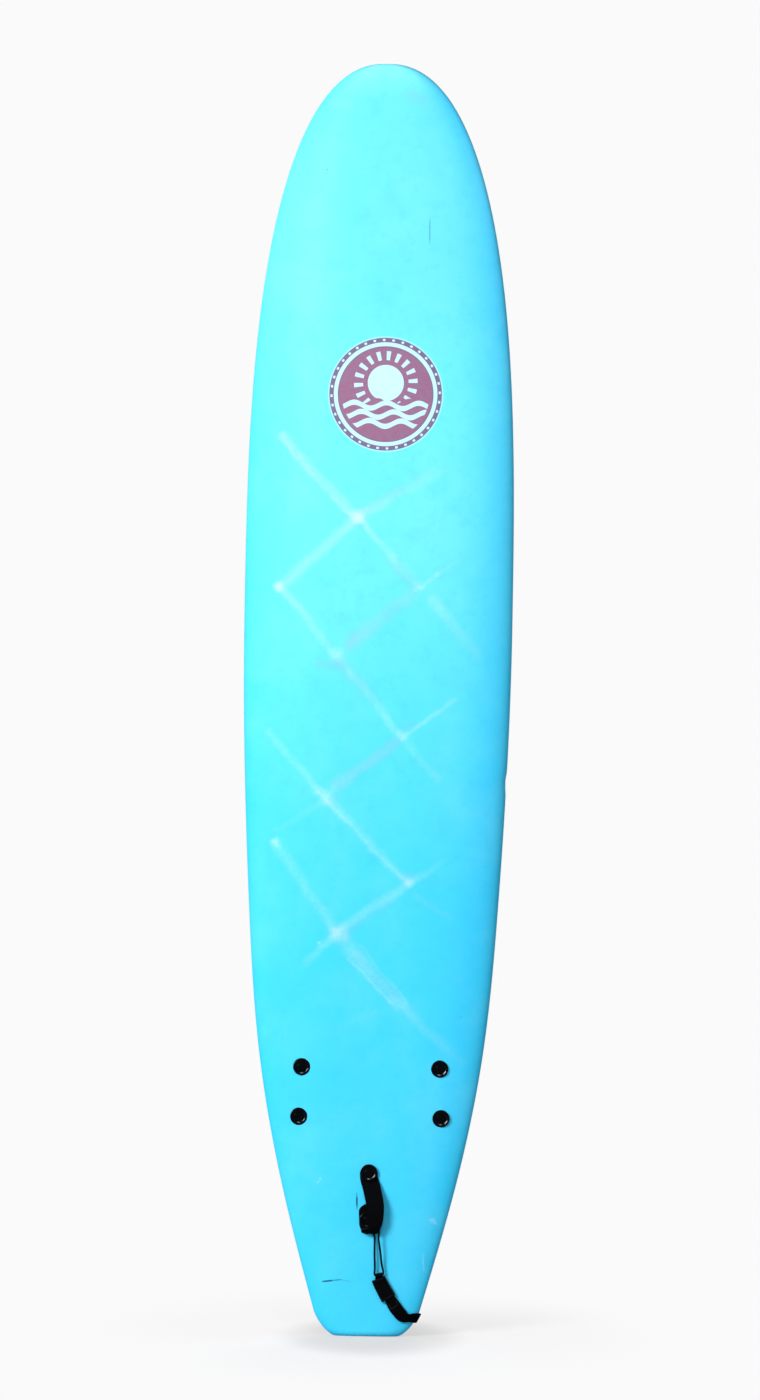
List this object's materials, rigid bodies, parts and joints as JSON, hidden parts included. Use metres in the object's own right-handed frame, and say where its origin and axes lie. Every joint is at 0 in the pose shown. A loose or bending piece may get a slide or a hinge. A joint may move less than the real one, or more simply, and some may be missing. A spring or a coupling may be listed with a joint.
{
  "type": "surfboard",
  "caption": "Long soft-top surfboard standing on its tail, with bolt-through fins, a webbing leash strap, string and rail saver, and a put-away leash with its ankle cuff.",
  "frame": {"origin": "centre of the flat end of the tail, on the floor that the board stands on", "axes": "+Z along the board from tail to nose, -Y out of the deck, +Y out of the bottom with its fins, +X to the right seen from the deck's side"},
  "size_m": [0.5806, 0.3106, 2.7418],
  "materials": {
    "deck_foam": "soft closed-cell foam skin, satin, pale turquoise fading to sky blue at the tail",
    "bottom_sheet": "slick smooth polyethylene sheet",
    "core_foam": "expanded polystyrene, hidden inside",
    "stringer_wood": "plywood strip, hidden inside",
    "fin_plastic": "moulded flexible plastic, satin black",
    "black_plastic": "moulded nylon, satin black",
    "sleeve_plastic": "moulded sleeve, natural",
    "black_webbing": "woven black webbing and hook-and-loop",
    "black_cord": "black urethane leash cord and braided string"
  },
  "bodies": {
    "board": {"deck_skin": "deck_foam", "bottom_slick": "bottom_sheet", "core_left": "core_foam", "core_centre": "core_foam", "core_right": "core_foam", "stringer_left": "stringer_wood", "stringer_right": "stringer_wood", "fin_left": "fin_plastic", "fin_right": "fin_plastic", "fin_centre": "fin_plastic", "fin_screw_left_front": "black_plastic", "fin_screw_left_rear": "black_plastic", "fin_screw_right_front": "black_plastic", "fin_screw_right_rear": "black_plastic", "fin_screw_centre_front": "black_plastic", "fin_screw_centre_rear": "black_plastic", "rail_swivel_housing": "black_plastic", "cuff_swivel_housing": "black_plastic", "bolt_sleeve_left_front": "sleeve_plastic", "bolt_sleeve_left_rear": "sleeve_plastic", "bolt_sleeve_right_front": "sleeve_plastic", "bolt_sleeve_right_rear": "sleeve_plastic", "bolt_sleeve_centre_front": "sleeve_plastic", "bolt_sleeve_centre_rear": "sleeve_plastic", "leash_strap": "black_webbing", "rail_saver_webbing": "black_webbing", "rail_saver_wrap": "black_webbing", "coil_tie": "black_webbing", "cuff_band": "black_webbing", "leash_string": "black_cord", "leash_cord": "black_cord", "leash_coil": "black_cord", "cuff_lead": "black_cord"},
    "rail_swivel": {"rail_swivel_rotor": "black_plastic"},
    "cuff_swivel": {"cuff_swivel_rotor": "black_plastic"},
    "cuff_closure": {"cuff_flap": "black_webbing"}
  },
  "joints": [
    {"name": "rail_swivel_turn", "type": "hinge", "parent": "board", "child": "rail_swivel", "pos_m": [0.08457, 0.03248, 0.03803], "axis": [-0.8738, 0.4849, -0.0358], "continuous": true},
    {"name": "cuff_swivel_turn", "type": "hinge", "parent": "board", "child": "cuff_swivel", "pos_m": [-0.04351, 0.15152, 0.025], "axis": [-0.0979, -0.9952, 0], "continuous": true},
    {"name": "cuff_flap_open", "type": "hinge", "parent": "board", "child": "cuff_closure", "pos_m": [-0.00134, 0.22823, 0.025], "axis": [0, 0, -1], "range_deg": [0, 90]}
  ]
}
